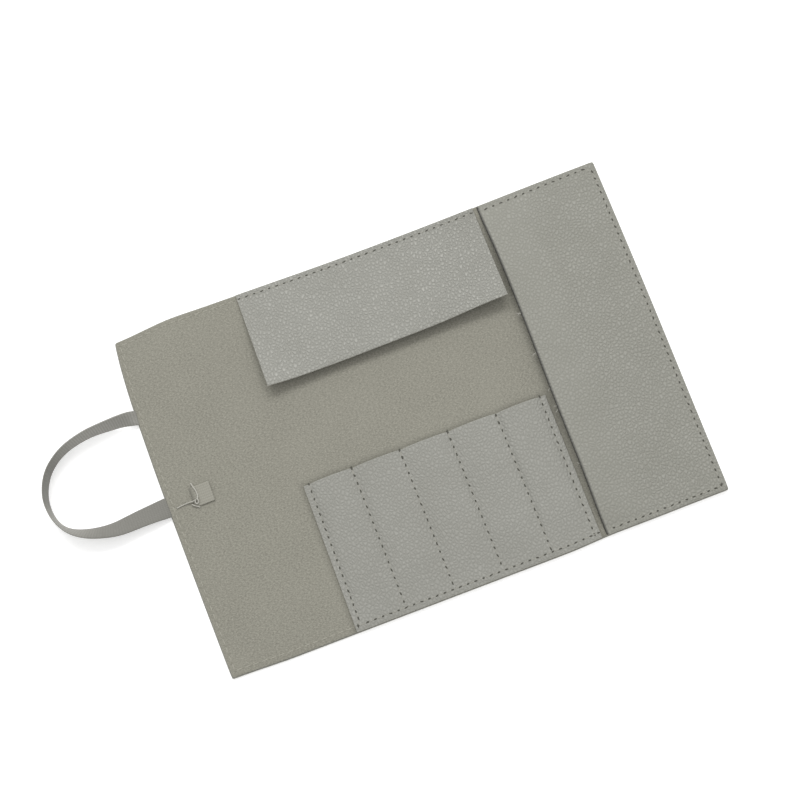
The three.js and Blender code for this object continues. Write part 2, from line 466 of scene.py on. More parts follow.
@dataclass(frozen=True)
class WebbingFinish:
    """Woven elastic tape: ribs along it, coarser picks across it, painted shade on the loop's bend, a darker
    lower run and a sealed cut end.
    """

    name: str = "woven_tape"
    light: Colour = (0.372, 0.365, 0.336)
    dark: Colour = (0.160, 0.157, 0.141)
    roughness: float = 0.9
    specular: float = 0.2
    sheen: float = 0.1
    fineness: float = 12.0
    fibre_share: float = 0.5
    ribs_per_cm: float = 9.0
    rib_bend: float = 0.6
    rib_bend_scale: float = 3.0
    rib_share: float = 0.25
    rib_mm: float = 0.14
    rib_strength: float = 0.5
    picks_per_cm: float = 6.5
    pick_bend: float = 0.5
    pick_share: float = 0.35
    pick_mm: float = 0.1
    pick_strength: float = 0.35
    # painted shade on the loop's bend, where the tape stands on edge and faces away from the light
    painted_bend_shade_from_cm: Pair = (3.4, 6.2)
    painted_bend_shade_to_cm: Pair = (9.2, 7.8)
    painted_bend_shade_share: float = 0.78
    # darker along the tape's lower run, towards its end
    darker_run_cm: Pair = (9.6, 12.4)
    darker_run_share: float = 0.7
    seal: Colour = (0.070, 0.068, 0.056)
    seal_share: float = 0.5
    sealed_end_cm: float = -9.0
    seal_reach_cm: float = 0.28

    def make(self, groups: ShaderGroups) -> Material:
        """Build the material.

        Args:
            groups: The shared effects.

        Returns:
            The material.
        """
        paint = Paint(self.name, self.roughness, self.specular)
        paint.fix("Sheen Weight", self.sheen)
        flat = paint.flat_map()
        place = paint.parts(flat)
        along = place["Y"]
        ribs = paint.node("TexWave", {
            "Vector": flat, "Scale": self.ribs_per_cm * WAVE_UNIT,
            "Distortion": self.rib_bend, "Detail Scale": self.rib_bend_scale,
        }, bands_direction="X").outputs["Fac"]
        picks = paint.node("TexWave", {
            "Vector": flat, "Scale": self.picks_per_cm * WAVE_UNIT, "Distortion": self.pick_bend,
        }, bands_direction="Y").outputs["Fac"]
        fibres = paint.group(groups.nap, flat, Fineness=self.fineness)["Tone"]
        # painted shade on the loop's bend
        pulled = paint.times(paint.ramp(along, *self.painted_bend_shade_from_cm), paint.ramp(along, *self.painted_bend_shade_to_cm))
        seal = paint.ramp(place["X"], self.sealed_end_cm + self.seal_reach_cm, self.sealed_end_cm)
        tone = paint.mix(paint.scaled(fibres, 0.0, self.fibre_share), self.light, self.dark)
        for mask in (
            paint.scaled(ribs, self.rib_share, 0.0),
            paint.scaled(picks, self.pick_share, 0.0),
            paint.scaled(pulled, 0.0, self.painted_bend_shade_share),
            paint.scaled(paint.ramp(along, *self.darker_run_cm), 0.0, self.darker_run_share),
        ):
            tone = paint.mix(mask, tone, self.dark)
        paint.feed("Base Color", paint.mix(paint.scaled(seal, 0.0, self.seal_share), tone, self.seal))
        paint.bump(ribs, self.rib_strength, self.rib_mm)
        paint.bump(picks, self.pick_strength, self.pick_mm)
        return paint.material


@dataclass(frozen=True)
class FibreFinish:
    """Two tones of fine fibre: sewing thread or, with no relief, the dark slit of painted shade in a
    needle's hole.
    """

    name: str = "sewing_thread"
    light: Colour = (0.360, 0.352, 0.310)
    dark: Colour = (0.250, 0.245, 0.213)
    roughness: float = 0.75
    specular: float = 0.3
    fineness: float = 2600.0
    relief_mm: float = 0.08
    relief_strength: float = 0.4

    def make(self, groups: ShaderGroups) -> Material:
        """Build the material.

        Args:
            groups: The shared effects.

        Returns:
            The material.
        """
        paint = Paint(self.name, self.roughness, self.specular)
        fibres = paint.group(groups.nap, paint.object_map(), Fineness=self.fineness)
        paint.feed("Base Color", paint.mix(fibres["Tone"], self.dark, self.light))
        if self.relief_mm:
            paint.bump(fibres["Height"], self.relief_strength, self.relief_mm)
        return paint.material


class Finishes:
    """Every material of the case, made once."""

    def __init__(self) -> None:
        """Make each finish."""
        groups = ShaderGroups()
        self.leather = LeatherFinish().make(groups)
        # flap leather: lighter tones, and stronger glints that are partly its own grain and partly painted
        # highlight for the light on the lifted leaf
        self.flap_leather = LeatherFinish(
            "flap_leather", (0.273, 0.272, 0.244), (0.259, 0.257, 0.229), (0.370, 0.368, 0.335),
            relief_mm=0.54, worn_cm=(0.5, 6.0), worn_share=0.8,
        ).make(groups)
        # side leather: yellower in its own tone, and darker partly as painted shade for how the light falls
        # on its sloping face
        self.side_leather = LeatherFinish(
            "side_leather", (0.245, 0.243, 0.212), (0.232, 0.230, 0.199), (0.296, 0.294, 0.261),
            cut_edge_highlight=(0.330, 0.322, 0.285), relief_mm=0.36, worn_cm=(9.0, 11.2), worn_share=0.68,
        ).make(groups)
        self.cloth = ClothFinish().make(groups)
        self.webbing = WebbingFinish().make(groups)
        self.tab_tape = WebbingFinish(
            "tab_tape", (0.335, 0.327, 0.281), (0.215, 0.209, 0.176), sealed_end_cm=-0.6,
        ).make(groups)
        self.thread = FibreFinish().make(groups)
        self.pale_thread = FibreFinish(
            "pale_thread", (0.46, 0.45, 0.405), (0.33, 0.322, 0.285),
        ).make(groups)
        self.faint_thread = FibreFinish(
            "faint_thread", (0.385, 0.375, 0.32), (0.30, 0.292, 0.245),
        ).make(groups)
        # needle holes: dark slits of painted shade
        shaded_slit = {"roughness": 0.9, "specular": 0.1, "fineness": 1800.0, "relief_mm": 0.0}
        self.hole_shade = FibreFinish(
            "needle_hole_shade", (0.105, 0.103, 0.088), (0.054, 0.053, 0.044), **shaded_slit,
        ).make(groups)
        self.faint_hole_shade = FibreFinish(
            "faint_hole_shade", (0.262, 0.255, 0.213), (0.222, 0.216, 0.180), **shaded_slit,
        ).make(groups)


@dataclass(frozen=True)
class Span:
    """A stretch of the case along X that is made as one piece, and the bodies that carry it."""

    tag: str
    low: float
    high: float
    bodies: tuple[str, ...]
    bend_x: float = 0.0
    reach: float = 0.0

    def carry(self, obj: Piece) -> None:
        """Let an object ride on the span's only body or, where the span has two, bake the object's place
        into its mesh.

        Args:
            obj: The object.
        """
        if len(self.bodies) == 1:
            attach(obj, self.bodies[0])
            return
        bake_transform(obj)


@dataclass(frozen=True)
class RollPlan:
    """Where the case bends when it is rolled up."""

    bend_lines: tuple[float, ...] = (-112.5, -45.5, -16.5, 13.5, 43.5, 74.0)
    strips: tuple[str, ...] = ("tail", "slot_1", "slot_2", "slot_3", "slot_4", "slot_5", "side")
    tail_reach: float = 18.0
    slot_reach: float = 14.0
    shortest: float = 0.1

    def cuts(self) -> list[float]:
        """Return the lines midway between neighbouring bends, where sheets are parted."""
        return [(a + b) / 2 for a, b in zip(self.bend_lines, self.bend_lines[1:])]

    def spans(self, x0: float, x1: float) -> list[Span]:
        """Part a sheet so that each piece crosses one bend.

        Args:
            x0: The sheet's left edge.
            x1: Its right edge.

        Returns:
            The spans from left to right, without empty ones.
        """
        limits = [-math.inf, *self.cuts(), math.inf]
        found = []
        for i, bend in enumerate(self.bend_lines):
            low = max(x0, limits[i])
            high = min(x1, limits[i + 1])
            if high - low < self.shortest:
                continue
            bodies = (f"{self.strips[i]}_strip", f"{self.strips[i + 1]}_strip")
            reach = self.slot_reach if i else self.tail_reach
            found.append(Span(self.strips[i + 1], low, high, bodies, bend, reach))
        return found


@dataclass(frozen=True)
class Lie:
    """How the open case lies on the table: its edges bow outwards a little and its tail humps up."""

    length: float = 300.0
    height: float = 208.0
    top_bow: float = 2.0
    top_bow_margin: float = 4.0
    top_bow_end_x: float = 6.0
    top_from_y: float = -20.0
    corner_rise: float = 1.2
    corner_from_x: float = 20.0
    bottom_bow: float = 2.3
    tail_share: float = 0.6
    tail_reach: float = 40.0
    slots_end_x: Pair = (50.0, 84.0)
    slots_end_fall: float = 0.5
    pocket_end_x: Pair = (100.0, 140.0)
    pocket_end_fall: float = 0.12
    side_from_x: float = 60.0
    left_bow: float = 2.7
    left_bow_y: float = 26.0
    left_bow_powers: Pair = (1.35, 4.0)
    right_bow: float = 0.3
    right_lean: float = 0.4
    right_lean_y: Pair = (-70.0, 30.0)
    hump: float = 1.6
    hump_x: float = -116.0
    hump_reach: float = 17.0
    hump_from_y: float = 10.0

    def bow(self, x: float, y: float) -> Pair:
        """Return how far a point of the flat sheet shifts.

        Args:
            x: The point's place along X.
            y: Its place along Y.

        Returns:
            The shift along X and along Y.
        """
        half_x = self.length / 2
        half_y = self.height / 2
        rise = smooth(x, -half_x - self.top_bow_margin, self.hump_x + self.top_bow_margin)
        fall = 1.0 - smooth(x, self.hump_x, self.top_bow_end_x)
        drawn = self.top_bow * rise * fall + self.corner_rise * smooth(x, self.corner_from_x, half_x)
        up = drawn * smooth(y, self.top_from_y, half_y)
        tail = self.tail_share + (1.0 - self.tail_share) * smooth(x, -half_x, -half_x + self.tail_reach)
        slots_end = self.slots_end_fall * smooth(x, *self.slots_end_x)
        pocket_end = self.pocket_end_fall * smooth(x, *self.pocket_end_x)
        down = self.bottom_bow * tail * (1.0 - slots_end - pocket_end) * smooth(-y, 0.0, half_y)
        off = y - self.left_bow_y
        away = abs(off) / (half_y - math.copysign(self.left_bow_y, off))
        left_arc = max(0.0, 1.0 - away ** self.left_bow_powers[off > 0])
        left = self.left_bow * left_arc * smooth(-x, self.side_from_x, half_x)
        right_arc = max(0.0, 1.0 - (y / half_y) ** 2)
        right = self.right_bow * right_arc + self.right_lean * smooth(y, *self.right_lean_y)
        return right * smooth(x, self.side_from_x, half_x) - left, up - down

    def lift(self, x: float, y: float) -> float:
        """Return how far the sheet stands off the table at a point."""
        across = math.exp(-(((x - self.hump_x) / self.hump_reach) ** 2))
        return self.hump * across * smooth(y, self.hump_from_y, self.height / 2)

    def place(self, x: float, y: float, z: float) -> Vector:
        """Return the place, in metres, of a point of the flat sheet at a height over it."""
        dx, dy = self.bow(x, y)
        return metres((x + dx, y + dy, z + self.lift(x, y)))


@dataclass
class SheetPanel:
    """A thin sheet over a height field, with softly rounded free edges and square parted ones.

    A grid line runs at edge_band inside the left edge and the top one. Where the left edge is a pocket's
    open mouth, its raw cut, darkened with painted shade, shows within that band.
    """

    lie: Lie
    x0: float
    x1: float
    y0: float
    y1: float
    thick: float
    under: Field
    cuts: list[float]
    rim: float = 0.34
    rim_lines: tuple[float, ...] = (0.13, 0.5, 1.0)
    rim_shown: float = 0.45
    lower_round: float = 0.5
    corner: float = 0.0
    x_step: float = 2.4
    y_step: float = 5.2
    closest: float = 0.03
    nudge: Shift | None = None
    shaded_raw_mouth: bool = False
    shaded_raw_full: float = 0.25
    edge_band: float = 0.8
    y_cuts: tuple[float, ...] = ()

    def _lines(self, low: float, high: float, step: float, extra: Iterable[float]) -> list[float]:
        """Lay grid lines between two edges, closer along the rounded rim.

        Args:
            low: The first edge.
            high: The last edge.
            step: The widest spacing in the middle.
            extra: Lines that must be kept.

        Returns:
            The lines in order.
        """
        kept = sorted({low, high, *(x for x in extra if low < x < high)})
        steps = max(1, math.ceil((high - low) / step))
        rims = [self.rim * share for share in self.rim_lines]
        wished = [low + r for r in rims] + [high - r for r in rims]
        wished += [low + (high - low) * i / steps for i in range(1, steps)]
        for line in wished:
            if all(abs(line - other) > self.closest for other in kept):
                kept.append(line)
        return sorted(kept)

    def _mouth_mask(self, x: float) -> float:
        """Return 1 on the raw edge of the mouth, painted dark with shade, fading to 0 across its band."""
        shown = 1.0 - smooth(x - self.x0, self.shaded_raw_full * self.edge_band, self.edge_band)
        return shown if self.shaded_raw_mouth else 0.0

    def _edge_distance(self, x: float, y: float) -> float:
        """Return a point's distance from the nearest free edge."""
        return min(x - self.x0, self.x1 - x, y - self.y0, self.y1 - y)

    def _round_corner(self, x: float, y: float) -> Pair:
        """Pull a point of a square corner in to its rounded outline.

        Args:
            x: The point's place along X.
            y: Its place along Y.

        Returns:
            Its new place.
        """
        if not self.corner:
            return x, y
        centre_x = min(max(x, self.x0 + self.corner), self.x1 - self.corner)
        centre_y = min(max(y, self.y0 + self.corner), self.y1 - self.corner)
        u = (x - centre_x) / self.corner
        v = (y - centre_y) / self.corner
        return (
            centre_x + self.corner * u * math.sqrt(1 - v * v / 2),
            centre_y + self.corner * v * math.sqrt(1 - u * u / 2),
        )

    def top(self, x: float, y: float) -> float:
        """Return the height of the sheet's upper face at a point."""
        return self.under(x, y) + self.thick

    def _point(self, x: float, y: float, upper: bool) -> Vector:
        """Place a grid point on one of the sheet's faces.

        Args:
            x: The point's place along X on the flat sheet.
            y: Its place along Y.
            upper: Whether it lies on the upper face.

        Returns:
            Its place in metres.
        """
        distance = self._edge_distance(x, y)
        drop = 0.0
        if distance < self.rim:
            drop = self.rim - math.sqrt(max(0.0, self.rim**2 - (self.rim - distance) ** 2))
        z = self.top(x, y) - drop if upper else self.under(x, y) + self.lower_round * drop
        px, py = self._round_corner(x, y)
        dx, dy = self.nudge(x, y) if self.nudge else (0.0, 0.0)
        return self.lie.place(px + dx, py + dy, z)

    def piece(self, name: str, low: float, high: float, material: Material) -> Piece:
        """Make the part of the sheet between two lines as a closed mesh.

        Args:
            name: The object's name.
            low: Where the piece starts along X.
            high: Where it ends.
            material: Its finish.

        Returns:
            The new object.
        """
        all_xs = self._lines(self.x0, self.x1, self.x_step, [*self.cuts, self.x0 + self.edge_band])
        xs = [x for x in all_xs if low - SAME_LINE <= x <= high + SAME_LINE]
        ys = self._lines(self.y0, self.y1, self.y_step, [*self.y_cuts, self.y1 - self.edge_band])
        bm = bmesh.new()
        rim_layer = bm.verts.layers.float.new(RIM_MASK)
        mouth_layer = bm.verts.layers.float.new(MOUTH_MASK)
        flat_layer = bm.loops.layers.uv.new(FLAT_MAP)
        flat_place = {}

        def vertex(x: float, y: float, upper: bool) -> bmesh.types.BMVert:
            """Add one grid point with its masks and its place on the flat sheet."""
            vert = bm.verts.new(self._point(x, y, upper))
            vert[rim_layer] = 1.0 - smooth(self._edge_distance(x, y), 0.0, self.rim_shown * self.rim)
            vert[mouth_layer] = self._mouth_mask(x)
            flat_place[vert] = (x / FLAT_UNIT, y / FLAT_UNIT)
            return vert

        upper = [[vertex(x, y, True) for y in ys] for x in xs]
        lower = [[vertex(x, y, False) for y in ys] for x in xs]
        faces = []
        for i in range(len(xs) - 1):
            for j in range(len(ys) - 1):
                faces.append((upper[i][j], upper[i + 1][j], upper[i + 1][j + 1], upper[i][j + 1]))
                faces.append((lower[i][j], lower[i][j + 1], lower[i + 1][j + 1], lower[i + 1][j]))
            faces.append((lower[i][0], lower[i + 1][0], upper[i + 1][0], upper[i][0]))
            faces.append((upper[i][-1], upper[i + 1][-1], lower[i + 1][-1], lower[i][-1]))
        for j in range(len(ys) - 1):
            faces.append((lower[0][j], upper[0][j], upper[0][j + 1], lower[0][j + 1]))
            faces.append((upper[-1][j], lower[-1][j], lower[-1][j + 1], upper[-1][j + 1]))
        for corners in faces:
            bm.faces.new(corners).smooth = True
        lay_flat_map(bm, flat_layer, flat_place)
        for column, x in ((0, low), (-1, high)):
            if self.x0 < x < self.x1:
                self._square_edges(bm, upper[column], lower[column])
        return object_from(bm, name, (material,))

    @staticmethod
    def _square_edges(bm: bmesh.types.BMesh, *rows: list[bmesh.types.BMVert]) -> None:
        """Keep the shading of a parted edge square, so that the join doesn't show.

        Args:
            bm: The piece's geometry.
            *rows: The vertices along the edge, in order, on each face.
        """
        for row in rows:
            for a, b in zip(row, row[1:]):
                bm.edges.get((a, b)).smooth = False


def lay_flat_map(
    bm: bmesh.types.BMesh, layer: bmesh.types.BMLayerItem, places: dict[bmesh.types.BMVert, Pair],
) -> None:
    """Give every face corner its place on the flat sheet.

    Args:
        bm: The geometry.
        layer: Its UV layer.
        places: The flat place of each vertex.
    """
    for face in bm.faces:
        for loop in face.loops:
            loop[layer].uv = places[loop.vert]


@dataclass(frozen=True)
class SeamRow:
    """A straight row of stitches on one layer's upper face."""

    start: Pair
    end: Pair
    top: Field
    pitch: float = 4.7

    def places(self) -> list[tuple[float, float, float]]:
        """Return each needle hole's X and Y, and the row's direction there."""
        (ax, ay), (bx, by) = self.start, self.end
        count = max(1, round(math.hypot(bx - ax, by - ay) / self.pitch))
        angle = math.atan2(by - ay, bx - ax)
        steps = range(count + 1)
        return [(ax + (bx - ax) * i / count, ay + (by - ay) * i / count, angle) for i in steps]


def bent_seam(points: list[Pair], pitches: Iterable[float], top: Field) -> list[SeamRow]:
    """Return a row of stitches for each straight leg of a bent seam.

    Args:
        points: The seam's corners in order.
        pitches: The stitch length wished for on each leg.
        top: The height of the face that it lies on.

    Returns:
        The rows, one for each leg.
    """
    return [SeamRow(a, b, top, pitch=pitch) for a, b, pitch in zip(points, points[1:], pitches)]


@dataclass
class Stitcher:
    """Sews rows of stitches, each stamped from one thread and one dark slit of painted shade in the needle
    hole.

    Holes differ a little in size and turn. Each of the two swings follows the stitch's number and its place.
    """

    lie: Lie
    finishes: Finishes
    thread_radius: float = 0.26
    thread_gap: float = 0.35
    thread_sink: float = 0.04
    thread_turn: float = 0.06
    hole_length: float = 2.1
    hole_width: float = 0.95
    hole_depth: float = 0.12
    slant: float = math.radians(3)
    size_swing: Pair = (2.4, 0.1)
    length_change: float = 0.12
    width_change: float = 0.05
    turn_swing: Pair = (1.7, 0.2)
    turn_change: float = 0.22

    def __post_init__(self) -> None:
        """Model the two shapes that repeat."""
        self.thread = self._stamp("stitch_thread", (1.0, 1.0, 0.8), segments=8, rings=6)
        self.hole_shade = self._stamp("painted_needle_shade", (1.0, 1.0, 1.0), segments=8, rings=4)

    @staticmethod
    def _stamp(name: str, scale: tuple[float, float, float], segments: int, rings: int) -> bpy.types.Mesh:
        """Model one small rounded shape of unit half size, long along X.

        Args:
            name: The mesh's name.
            scale: Its half sizes.
            segments: Faces round it.
            rings: Faces along it.

        Returns:
            The mesh, with no object left in the scene.
        """
        bpy.ops.object.select_all(action="DESELECT")
        bpy.ops.mesh.primitive_uv_sphere_add(segments=segments, ring_count=rings, radius=1.0)
        obj = bpy.context.active_object
        bpy.ops.object.mode_set(mode="EDIT")
        bpy.ops.mesh.select_all(action="SELECT")
        bpy.ops.transform.rotate(value=math.pi / 2, orient_axis="Y", center_override=(0, 0, 0))
        bpy.ops.transform.resize(value=scale)
        bpy.ops.object.mode_set(mode="OBJECT")
        bpy.ops.object.shade_smooth()
        mesh = obj.data
        mesh.name = name
        bpy.data.objects.remove(obj)
        return mesh

    @staticmethod
    def _press(bm: bmesh.types.BMesh, mesh: bpy.types.Mesh, matrix: Matrix, material_index: int) -> None:
        """Add one placed copy of a stamp to a seam's geometry.

        Args:
            bm: The seam's geometry.
            mesh: The stamp.
            matrix: Where and how large it is set.
            material_index: The material slot of its faces.
        """
        first_vert = len(bm.verts)
        first_face = len(bm.faces)
        bm.from_mesh(mesh)
        bm.verts.ensure_lookup_table()
        bm.faces.ensure_lookup_table()
        for vert in bm.verts[first_vert:]:
            vert.co = matrix @ vert.co
        for face in bm.faces[first_face:]:
            face.material_index = material_index

    def sew(self, name: str, rows: list[SeamRow], spans: Iterable[Span], slot: Layer) -> dict[str, Piece]:
        """Sew rows of stitches, parted among the spans that carry them.

        Args:
            name: What the seam is called.
            rows: The rows.
            spans: The stretches of the case, each of which gets its own object.
            slot: The record's slot that the seam goes with. Seams on cloth show faintly.

        Returns:
            The seam's objects by the tags of their spans, without empty ones.
        """
        materials = (self.finishes.thread, self.finishes.hole_shade)
        if slot is Layer.CLOTH:
            materials = (self.finishes.faint_thread, self.finishes.faint_hole_shade)
        made = {}
        for span in spans:
            bm = bmesh.new()
            for row in rows:
                self._sew_row(bm, row, span)
            if not bm.verts:
                bm.free()
                continue
            seam = object_from(bm, f"{name}_{span.tag}", materials)
            span.carry(seam)
            made[span.tag] = seam
        return made

    def _sew_row(self, bm: bmesh.types.BMesh, row: SeamRow, span: Span) -> None:
        """Stamp the stitches of one row that lie within a span.

        Args:
            bm: The seam's geometry.
            row: The row.
            span: The stretch of the case.
        """
        places = row.places()
        radius = self.thread_radius
        for number, ((x, y, angle), following) in enumerate(zip(places, places[1:] + [None])):
            if not span.low <= x < span.high:
                continue
            pulled = math.sin(self.size_swing[0] * number + self.size_swing[1] * x)
            turned = math.sin(self.turn_swing[0] * number + self.turn_swing[1] * y)
            length = self.hole_length * (0.5 + self.length_change * pulled)
            width = self.hole_width * (0.5 - self.width_change * pulled)
            turn = angle + self.slant + self.turn_change * turned
            # a dark slit of painted shade in the needle's hole
            shaded_slit = self._pose(x, y, row.top(x, y), turn, (length, width, self.hole_depth))
            self._press(bm, self.hole_shade, shaded_slit, 1)
            if following is None:
                continue
            mid_x = (x + following[0]) / 2
            mid_y = (y + following[1]) / 2
            half = math.hypot(following[0] - x, following[1] - y) / 2 - self.thread_gap
            z = row.top(mid_x, mid_y) - self.thread_sink
            stitch = self._pose(mid_x, mid_y, z, angle + self.thread_turn, (half, radius, radius))
            self._press(bm, self.thread, stitch, 0)

    def _pose(self, x: float, y: float, z: float, angle: float, size: tuple[float, float, float]) -> Matrix:
        """Return the matrix that sets a unit stamp on the sheet, at a size in millimetres."""
        scale = Matrix.Diagonal((*(s * MM for s in size), 1.0))
        return Matrix.Translation(self.lie.place(x, y, z)) @ Matrix.Rotation(angle, 4, "Z") @ scale


@dataclass
class Workshop:
    """What every sub-assembly shares."""

    plan: RollPlan
    lie: Lie
    finishes: Finishes
    stitcher: Stitcher

    @staticmethod
    def lay(
        name: str, panel: SheetPanel, span: Span, material: Material, nodes: Iterable[str],
        layer: Layer = Layer.LEATHER, rests_on: Iterable[Piece] = (), sewn: Iterable[Piece] = (),
    ) -> Piece:
        """Make one stretch of a sheet, let the span carry it and hide the CAD nodes that it shows in place
        of.

        Args:
            name: The piece's name.
            panel: The sheet.
            span: The stretch.
            material: Its finish.
            nodes: The CAD nodes that it shows in place of.
            layer: The layer it belongs to; not used.
            rests_on: The pieces under it; not used.
            sewn: The seams that go with it; not used.

        Returns:
            The piece.
        """
        piece = panel.piece(name, span.low, span.high, material)
        span.carry(piece)
        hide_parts(*nodes)
        return piece


def strip_nodes(sheet: str, span: Span) -> list[str]:
    """Return the CAD strips of a sheet that a span stands for: the first span takes the tail too."""
    return [f"{sheet}_{span.tag}"] + ([f"{sheet}_tail"] if span.tag == "slot_1" else [])


@dataclass
class OuterCover:
    """The leather sheet that the whole case is built on."""

    shop: Workshop
    thick: float = 1.2
    corner: float = 1.3

    def build(self) -> list[Piece]:
        """Make the cover in pieces that each cross one bend, and return them."""
        lie = self.shop.lie
        half_x, half_y = lie.length / 2, lie.height / 2
        panel = SheetPanel(
            lie, -half_x, half_x, -half_y, half_y, self.thick,
            lambda x, y: 0.0, self.shop.plan.cuts(), corner=self.corner,
        )
        leather = self.shop.finishes.leather
        return [
            self.shop.lay(f"cover_leather_{span.tag}", panel, span, leather, strip_nodes("cover", span))
            for span in self.shop.plan.spans(-half_x, half_x)
        ]


@dataclass
class Lining:
    """The brushed cloth that faces the inside of the case."""

    shop: Workshop
    base: float = 1.2
    thick: float = 1.0
    inset: float = 0.6
    rim: float = 0.3
    corner: float = 1.1
    seam_inset: float = 3.2
    bottom_seam_inset: float = 3.9
    seam_end_x: float = -76.0
    pitch: float = 5.0

    @property
    def top(self) -> float:
        """Height of the cloth's upper face."""
        return self.base + self.thick

    def build(self, cover: list[Piece]) -> list[Piece]:
        """Make the lining over the cover.

        Args:
            cover: The cover's pieces, which it lies on.

        Returns:
            The lining's pieces.
        """
        lie = self.shop.lie
        half_x = lie.length / 2 - self.inset
        half_y = lie.height / 2 - self.inset
        panel = SheetPanel(
            lie, -half_x, half_x, -half_y, half_y, self.thick,
            lambda x, y: self.base, self.shop.plan.cuts(), rim=self.rim, corner=self.corner,
        )
        spans = self.shop.plan.spans(-half_x, half_x)
        seams = self.shop.stitcher.sew("lining_seam", self._rows(), spans, Layer.CLOTH)
        pieces = []
        for span, under in zip(spans, cover):
            pieces.append(self.shop.lay(
                f"lining_cloth_{span.tag}", panel, span, self.shop.finishes.cloth,
                strip_nodes("lining", span), Layer.CLOTH, rests_on=[under],
                sewn=[seams[span.tag]] if span.tag in seams else [],
            ))
        return pieces

    def _rows(self) -> list[SeamRow]:
        """Return the stitch rows round the lining's bare end."""
        left = -self.shop.lie.length / 2 + self.seam_inset
        high = self.shop.lie.height / 2 - self.seam_inset
        low = self.bottom_seam_inset - self.shop.lie.height / 2
        corners = [(self.seam_end_x, high), (left, high), (left, low), (self.seam_end_x, low)]
        return bent_seam(corners, [self.pitch] * (len(corners) - 1), lambda x, y: self.top)


@dataclass
class PenPocket:
    """One leather panel sewn into a row of slots for pencils."""

    shop: Workshop
    base: float
    thick: float = 1.0
    x0: float = -75.0
    x1: float = 73.0
    y0: float = -103.4
    mouth_y: float = -16.0
    x_step: float = 1.6
    y_step: float = 3.4
    left_row: float = -71.6
    right_row: float = 69.6
    bottom_row: float = -100.3
    row_top: float = -16.3
    row_low: float = -96.4
    left_slack_y: float = -80.2
    bottom_ends: tuple[float, float, float] = (-73.1, -67.4, 72.0)
    left_pitches: tuple[float, ...] = (4.57, 4.06, ONE_STITCH, ONE_STITCH, 4.64)
    right_pitches: tuple[float, ...] = (4.7, ONE_STITCH)
    dividers: tuple[float, ...] = (-44.9, -15.6, 13.8, 43.1)
    divider_tops: tuple[float, ...] = (-16.3, -16.3, -16.3, -17.2)
    divider_ends: tuple[float, ...] = (-96.7, -96.7, -96.0, -98.4)
    divider_lean: float = 0.6
    divider_pitch: float = 4.75
    doubled_start: Pair = (-0.4, -0.5)
    doubled_end: Pair = (-0.3, -4.5)
    crown: float = 1.2
    crown_power: float = 0.5
    crown_reach: float = 26.0
    mouth_dip: float = 0.3
    mouth_reach: float = 16.0
    valley: float = 1.1

    def _seams(self) -> tuple[float, ...]:
        """Return where the seams between and beside the slots lie along X."""
        return (self.left_row, *self.dividers, self.right_row)

    def _arch(self, x: float) -> float:
        """Return 0 on a seam and 1 midway between two seams.

        Args:
            x: The place along X.

        Returns:
            The share of the slot's full height.
        """
        seams = self._seams()
        for a, b in zip(seams, seams[1:]):
            share = (x - a - self.valley) / (b - a - 2 * self.valley)
            if 0.0 < share < 1.0:
                return math.sin(math.pi * share) ** self.crown_power
        return 0.0

    def under(self, x: float, y: float) -> float:
        """Return the height of the panel's lower face."""
        filled = smooth(y, self.bottom_row, self.bottom_row + self.crown_reach)
        return self.base + self.crown * self._arch(x) * filled

    def _mouth_pull(self, x: float, y: float) -> Pair:
        """Return how far, along X and Y, the seams pull the mouth's edge down."""
        near = smooth(y, self.mouth_y - self.mouth_reach, self.mouth_y)
        return 0.0, -self.mouth_dip * (1.0 - self._arch(x)) * near

    def build(self, lining: list[Piece]) -> list[Piece]:
        """Make the panel and its seams.

        Args:
            lining: The lining's pieces, which it lies on.

        Returns:
            The panel's pieces.
        """
        valleys = [x + side * self.valley for x in self._seams() for side in (-1, 1)]
        panel = SheetPanel(
            self.shop.lie, self.x0, self.x1, self.y0, self.mouth_y, self.thick,
            self.under, [*self.shop.plan.cuts(), *valleys], x_step=self.x_step, y_step=self.y_step,
            nudge=self._mouth_pull,
        )
        spans = self.shop.plan.spans(self.x0, self.x1)
        self.shop.stitcher.sew("slot_seam", self._rows(panel), spans, Layer.LEATHER)
        leather = self.shop.finishes.leather
        return [
            self.shop.lay(f"slot_front_{n}", panel, span, leather, [f"pen_slot_{n}"], rests_on=lining)
            for n, span in enumerate(spans, 1)
        ]

    def _rows(self, panel: SheetPanel) -> list[SeamRow]:
        """Lay the rows round three sides and between the slots, each divider's first stitch doubled.

        Args:
            panel: The sheet that they lie on.

        Returns:
            The rows.
        """
        left = [(self.left_row, y) for y in (self.row_top, self.left_slack_y, self.row_low)]
        left += [(x, self.bottom_row) for x in self.bottom_ends]
        right = [(self.right_row, y) for y in (self.row_top, self.row_low, self.bottom_row)]
        rows = bent_seam(left, self.left_pitches, panel.top)
        rows += bent_seam(right, self.right_pitches, panel.top)
        for x, top_y, end_y in zip(self.dividers, self.divider_tops, self.divider_ends):
            high = x - self.divider_lean
            low = x + self.divider_lean
            rows.append(SeamRow((high, top_y), (low, end_y), panel.top, pitch=self.divider_pitch))
            ends = [(high + dx, top_y + dy) for dx, dy in (self.doubled_start, self.doubled_end)]
            rows.append(SeamRow(*ends, panel.top))
        return rows


